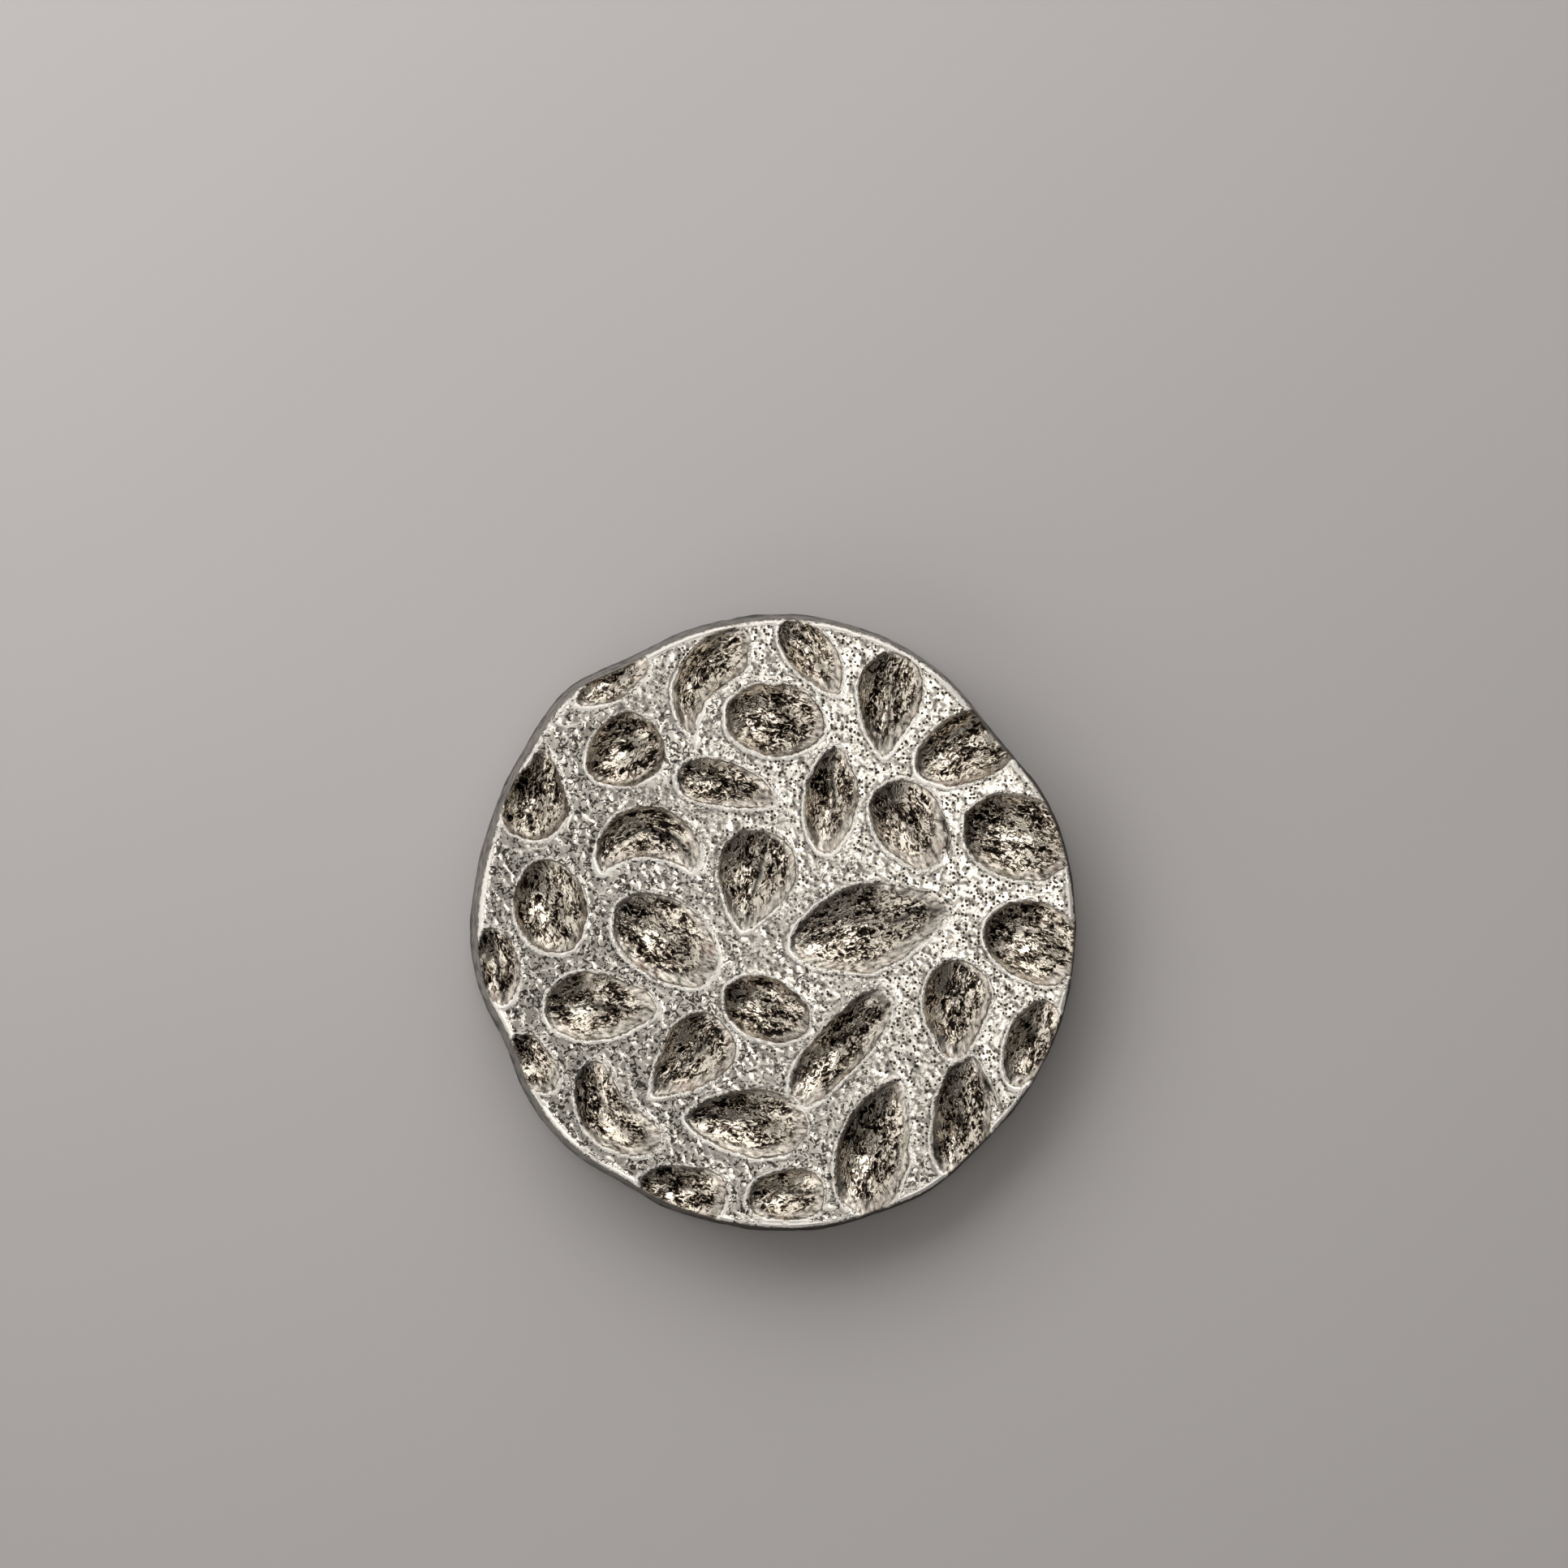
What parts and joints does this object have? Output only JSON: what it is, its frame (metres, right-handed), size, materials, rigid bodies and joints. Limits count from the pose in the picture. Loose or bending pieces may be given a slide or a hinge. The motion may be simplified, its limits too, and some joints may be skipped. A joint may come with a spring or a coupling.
{
  "type": "metal button",
  "caption": "Round cast metal garment button with deep organic recesses in its face, a closed hollow back and a wire thread loop that folds flat either way.",
  "frame": {"origin": "centre of the button on the plane that its rim stands on", "axes": "+Z out of the decorated face, +Y towards the top of the face pattern, +X to the right of it; the thread loop's hinge lies along X"},
  "size_m": [0.0232, 0.0237, 0.0032],
  "materials": {
    "cast_head": "antique silver plate over sandy cast metal, dark in the recesses and rubbed bright on the lands",
    "card": "matt grey-brown card",
    "back_sheet": "satin plated sheet with a dull patina",
    "saddle_sheet": "satin plated sheet",
    "rivet": "satin",
    "wire": "drawn wire, satin"
  },
  "bodies": {
    "button": {"face_casting": "cast_head", "filler_card": "card", "back_plate": "back_sheet", "loop_saddle": "saddle_sheet", "saddle_rivets": "rivet"},
    "loop": {"swing_loop": "wire"}
  },
  "joints": [
    {"name": "loop_fold", "type": "hinge", "parent": "button", "child": "loop", "pos_m": [0, 0, 0.00085], "axis": [-1, 0, 0], "range_deg": [-4, 175]}
  ]
}
